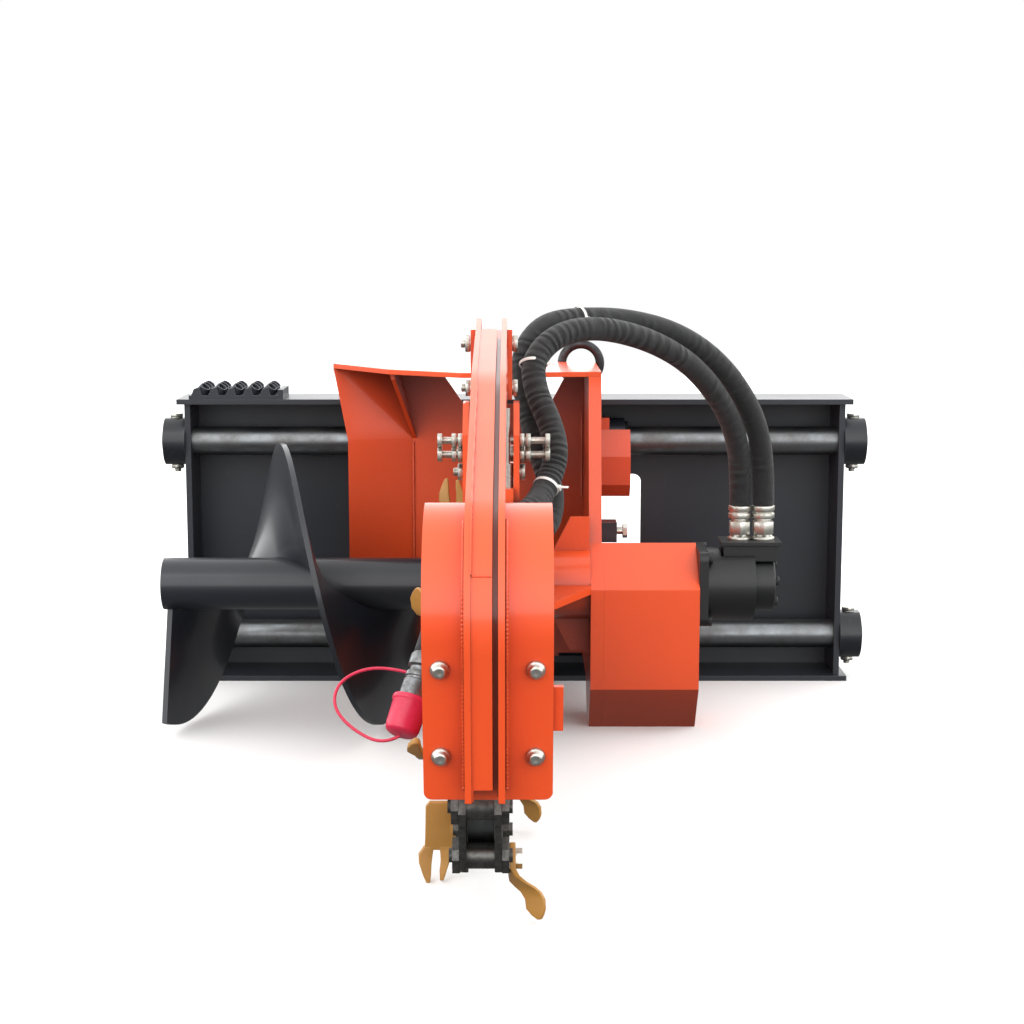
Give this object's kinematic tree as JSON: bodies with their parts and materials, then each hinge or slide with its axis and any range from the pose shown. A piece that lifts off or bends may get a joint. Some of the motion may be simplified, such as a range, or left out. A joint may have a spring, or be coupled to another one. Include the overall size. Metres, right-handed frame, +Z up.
{
  "type": "skid steer trencher",
  "caption": "Skid steer trencher attachment: side-shift coupler frame with a chain boom, carbide-style S teeth, a spoil auger, a hydraulic motor and a curved crumber shoe",
  "frame": {"origin": "rear face of the coupler plate, mid width, on the ground", "axes": "X right as seen from the nose of the boom, -Y towards the nose of the boom, Z up"},
  "size_m": [1.224, 1.5417, 0.6722],
  "materials": {
    "orange_paint": "semi-gloss orange powder coat",
    "dark_paint": "semi-gloss blue-black paint",
    "black_paint": "satin black paint",
    "steel": "bright turned steel",
    "zinc": "zinc plated steel",
    "dark_steel": "dark forged steel",
    "chain_steel": "oiled chain steel",
    "gold_paint": "gold paint",
    "hose_sleeve": "woven textile sleeve",
    "bronze": "turned bronze",
    "seal_rubber": "matt black rubber",
    "red_plastic": "glossy red moulded plastic"
  },
  "bodies": {
    "coupler_frame": {"attach_plate": "dark_paint", "attach_lip": "dark_paint", "lock_ledge": "dark_paint", "frame_flanges": "dark_paint", "side_plates": "dark_paint", "slide_rods": "steel", "rod_collars": "zinc", "collar_bolts": "zinc", "step_tread": "dark_paint"},
    "carriage": {"slide_sleeves": "black_paint", "slide_bushes": "bronze", "slide_wipers": "seal_rubber", "sleeve_saddles": "orange_paint", "sleeve_clamp": "orange_paint", "carriage_back_plate": "orange_paint", "deflector_wing": "orange_paint", "hood_top_plate": "orange_paint", "hood_rib": "orange_paint", "drive_side_plate": "orange_paint", "lifting_ring": "dark_steel", "clamp_block": "black_paint", "carriage_bolts": "zinc", "bearing_housing": "orange_paint", "shaft_bearings": "dark_steel", "shaft_seals": "seal_rubber", "drive_guard": "orange_paint", "motor_housing": "black_paint", "motor_end_cover": "black_paint", "port_block": "black_paint", "motor_bolts": "zinc", "port_adapters": "zinc", "hose_ferrules": "zinc", "outer_hose": "hose_sleeve", "inner_hose": "hose_sleeve", "quick_couplers": "zinc", "dust_caps": "red_plastic", "boom_beam": "orange_paint", "boom_support": "orange_paint", "nose_pin": "steel", "outer_links": "chain_steel", "inner_links": "chain_steel", "digging_teeth": "gold_paint", "tooth_bolts": "zinc", "support_beam": "orange_paint", "mast_plates": "orange_paint", "riser_plates": "orange_paint", "pivot_ears": "orange_paint", "mast_bolts": "zinc", "adjuster_screws": "zinc", "adjuster_spring": "zinc"},
    "head_shaft_set": {"head_shaft": "steel", "drive_coupling": "steel", "drive_sprocket": "dark_steel", "auger_tube": "black_paint", "auger_flight": "black_paint"},
    "nose_roller_set": {"nose_roller": "steel"},
    "crumber": {"crumber_arm": "orange_paint", "crumber_shoe": "orange_paint", "shoe_wear_plate": "orange_paint", "shoe_bolts": "zinc"}
  },
  "joints": [
    {"name": "side_shift", "type": "slide", "parent": "coupler_frame", "child": "carriage", "axis": [1, 0, 0], "range_m": [-0.25, 0.25]},
    {"name": "head_shaft_turn", "type": "hinge", "parent": "carriage", "child": "head_shaft_set", "pos_m": [0, -0.414, 0.23], "axis": [1, 0, 0], "continuous": true, "deforming": ["inner_links", "outer_links"]},
    {"name": "nose_roller_turn", "type": "hinge", "parent": "carriage", "child": "nose_roller_set", "pos_m": [-0.04, -1.24965, 0.16469], "axis": [1, 0, 0], "continuous": true},
    {"name": "crumber_swing", "type": "hinge", "parent": "carriage", "child": "crumber", "pos_m": [-0.033, -0.752, 0.629], "axis": [-1, 0, 0], "range_deg": [0, 25]}
  ],
  "couplings": [
    {"joint": "nose_roller_turn", "follows": "head_shaft_turn", "ratio": 1}
  ]
}
